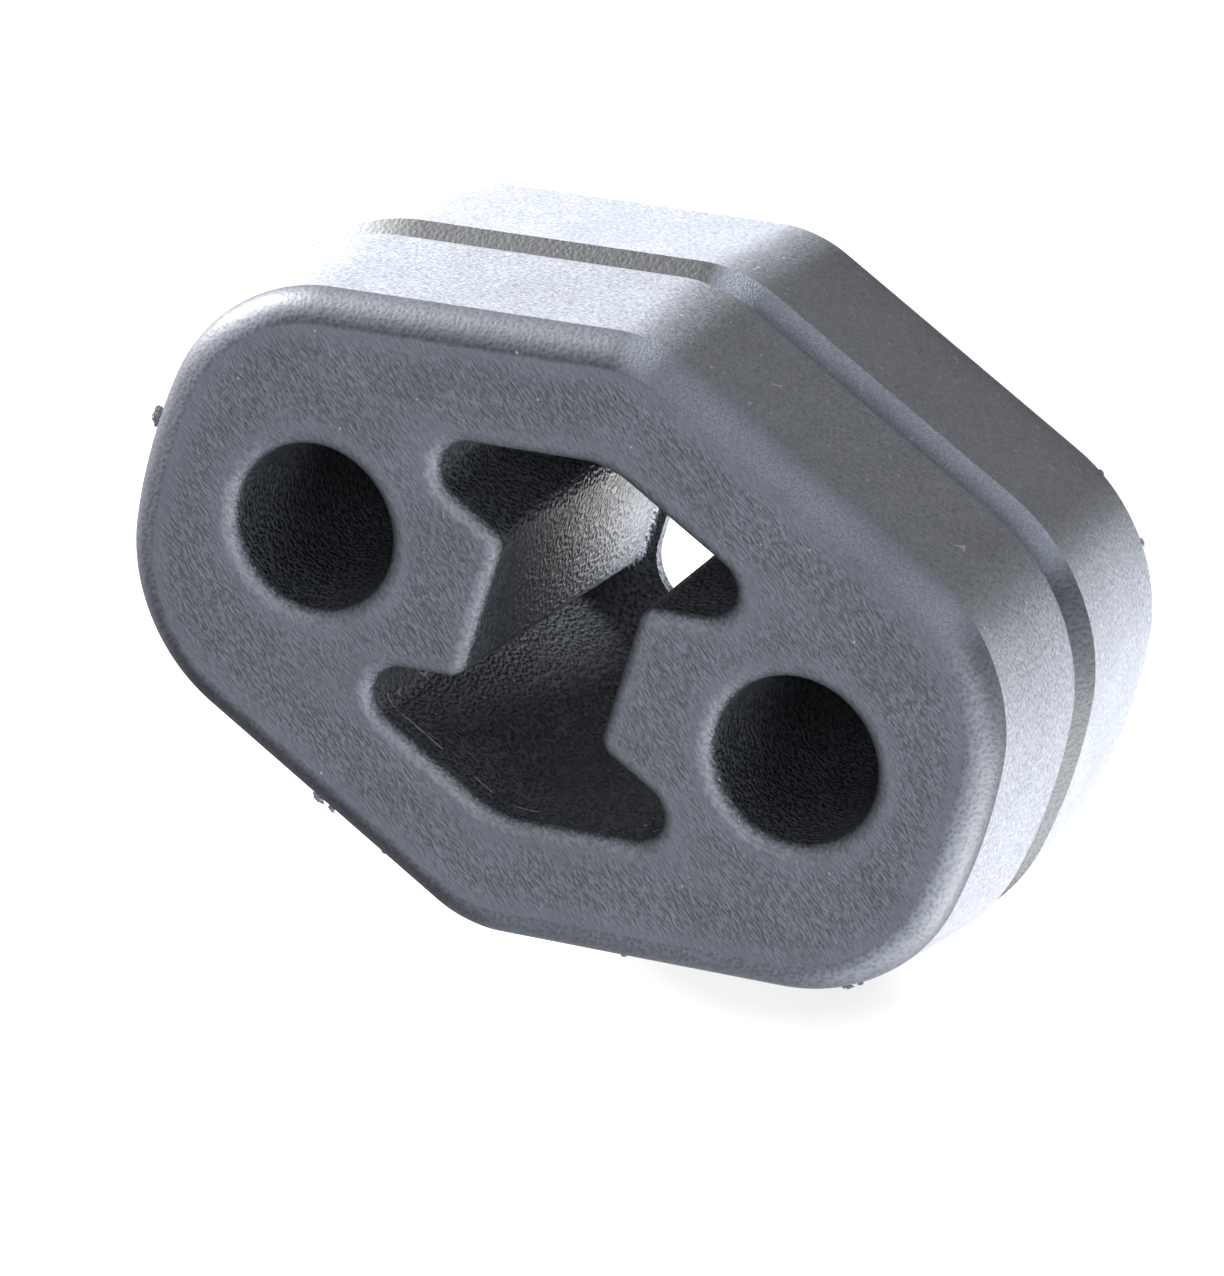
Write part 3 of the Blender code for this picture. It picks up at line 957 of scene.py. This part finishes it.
for number, (place, sizes, turn) in enumerate(crumbs):
    deselect_everything()
    bpy.ops.mesh.primitive_ico_sphere_add(subdivisions=4, radius=1.0, location=(0.0, 0.0, 0.0))
    nub = bpy.context.object
    for vertex in nub.data.vertices:
        x, y, z = vertex.co
        wave = (math.sin(5.1 * x + 1.7 * number) * math.cos(4.3 * y + number)
                + 0.6 * math.sin(9.7 * z + 6.1 * x + 2.3 * number)
                + 0.4 * math.sin(17.0 * y - 11.0 * z + number))
        vertex.co = vertex.co * (1.0 + 0.22 * wave)
    nub.scale = sizes
    nub.rotation_euler = (0.0, 0.0, math.radians(turn))
    nub.location = place
    nubs.append(nub)
deselect_everything()
for nub in nubs:
    nub.select_set(True)
bpy.context.view_layer.objects.active = nubs[0]
bpy.ops.object.join()
flash_nubs = bpy.context.object
flash_nubs.name = "flash_nubs"
flash_nubs.data.name = "flash_nubs"
bpy.ops.object.transform_apply(location=True, rotation=True, scale=True)
bpy.ops.object.shade_smooth_by_angle(angle=math.radians(50.0))
torn_rubber, tree, shader, place = start_rubber("torn_flash", 0.55)
shreds = use_group(tree, pits, Size=(0.00012, 0.00012, 0.00012))
join(tree, (place, shreds.inputs["Vector"]))
relief(tree, shreds.outputs["Height"], 0.00001, shader.inputs["Normal"])
colour_rubber(tree, shader, place, (0.150, 0.158, 0.178), shreds.outputs["Height"],
              low=0.50, high=1.50, dust=0.10, fibres=0.05)
flash_nubs.data.materials.append(torn_rubber)
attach(flash_nubs, "root")


# Table
# A plain pale sheet under the part. To the camera it adds its own white, so that
# it meets the background without a line, and less in a patch in front, a painted shadow over the
# part's real shadow there.
deselect_everything()
bpy.ops.mesh.primitive_plane_add(size=1.6, location=(0.0, 0.0, -0.0001))
table = bpy.context.object
table.name = "pale_table"
paper = bpy.data.materials.new("pale_paper")
paper.use_nodes = True
tree = paper.node_tree
shader = tree.nodes["Principled BSDF"]
shader.inputs["Base Color"].default_value = (0.45, 0.45, 0.45, 1.0)
shader.inputs["Roughness"].default_value = 0.9
shader.inputs["Specular IOR Level"].default_value = 0.0
shader.inputs["Emission Color"].default_value = (1.0, 1.0, 1.0, 1.0)
rays = tree.nodes.new("ShaderNodeLightPath")
place = tree.nodes.new("ShaderNodeTexCoord")
# Painted shadow: the camera's white drops to 0.42 in an ellipse in front of the part.
painted_shadow_patch = add_node(
    tree, "ShaderNodeMapping", vector_type="TEXTURE",
    Location=(0.012, -0.0295, 0.0), Rotation=(0.0, 0.0, math.radians(17.0)),
    Scale=(0.020, 0.009, 1.0))
glow = add_node(tree, "ShaderNodeTexGradient", gradient_type="SPHERICAL")
level = add_node(tree, "ShaderNodeMapRange", interpolation_type="SMOOTHSTEP",
                 From_Max=0.70, To_Min=1.0, To_Max=0.42)
lit = add_node(tree, "ShaderNodeMath", operation="MULTIPLY")
join(tree,
     (place.outputs["Object"], painted_shadow_patch.inputs["Vector"]),
     (painted_shadow_patch.outputs["Vector"], glow.inputs["Vector"]),
     (glow.outputs["Fac"], level.inputs["Value"]),
     (level.outputs["Result"], lit.inputs[0]),
     (rays.outputs["Is Camera Ray"], lit.inputs[1]),
     (lit.outputs["Value"], shader.inputs["Emission Strength"]))
table.data.materials.append(paper)


# Light
# A white studio. Two strong boxes stand low on the left and right and rake the
# walls, four soft ones light the part from higher up, and a strip in the slot of
# the web lights one stop block. White is all that the camera sees.
def soft_box(name, place, aim, width, height, radiance, spread=180.0):
    """Area lamp of one radiance, where 1 is white, which the camera doesn't see."""
    lamp = bpy.data.lights.new(name, "AREA")
    lamp.shape = "RECTANGLE"
    lamp.size = width
    lamp.size_y = height
    lamp.energy = radiance * math.pi * width * height
    lamp.spread = math.radians(spread)
    box = bpy.data.objects.new(name, lamp)
    bpy.context.scene.collection.objects.link(box)
    box.location = place
    box.rotation_euler = (Vector(aim) - Vector(place)).to_track_quat("-Z", "Y").to_euler()
    box.visible_camera = False


def round_about(turn, height, reach):
    """Point at a compass turn and a height angle, both in degrees, round the part."""
    turn = math.radians(turn)
    height = math.radians(height)
    return (reach * math.cos(turn) * math.cos(height),
            reach * math.sin(turn) * math.cos(height),
            reach * math.sin(height))


middle = (0.0, 0.0, 0.016)
soft_box("left_low_box", round_about(163.0, 2.3, 0.35), middle, 0.07, 0.028, 880.0)
soft_box("right_low_box", round_about(329.0, 2.1, 0.35), middle, 0.11, 0.026, 270.0)
soft_box("right_box", round_about(340.0, 13.0, 0.35), middle, 0.08, 0.07, 24.0)
soft_box("right_high_box", round_about(345.0, 42.0, 0.80), middle, 0.40, 0.40, 6.4)
soft_box("left_box", round_about(135.0, 38.0, 0.40), middle, 0.20, 0.20, 1.9)
soft_box("top_box", round_about(82.0, 70.0, 0.45), middle, 0.24, 0.24, 4.0)
soft_box("slot_glow", (0.0030, -0.0010, 0.0004), (-0.0050, -0.0006, 0.0027),
         0.0080, 0.0008, 100.0, 114.0)

world = bpy.data.worlds.new("white_studio")
bpy.context.scene.world = world
world.use_nodes = True
tree = world.node_tree
sky = tree.nodes["Background"]
sky.inputs["Color"].default_value = (1.0, 1.0, 1.0, 1.0)
rays = tree.nodes.new("ShaderNodeLightPath")
fill = add_node(tree, "ShaderNodeMapRange", To_Min=0.12, To_Max=1.0)
join(tree,
     (rays.outputs["Is Camera Ray"], fill.inputs["Value"]),
     (fill.outputs["Result"], sky.inputs["Strength"]))


# Camera
# A long lens high over the part, turned as in the photograph, so that the front
# face fills the frame and the walls of two sides and one end show beyond it.
lens = bpy.data.cameras.new("camera")
lens.sensor_fit = "HORIZONTAL"
lens.sensor_width = 36.0
lens.lens = 189.93
lens.shift_x = -0.0025674
lens.shift_y = 0.00069676
lens.clip_start = 0.01
lens.clip_end = 10.0
camera = bpy.data.objects.new("camera", lens)
bpy.context.scene.collection.objects.link(camera)
camera.matrix_world = Matrix((
    (0.864834, -0.419198, 0.276289, 0.115399),
    (0.270390, 0.852582, 0.447207, 0.182664),
    (-0.423027, -0.312054, 0.850688, 0.369958),
    (0.0, 0.0, 0.0, 1.0),
))
bpy.context.scene.camera = camera
bpy.context.scene.view_settings.view_transform = "Standard"
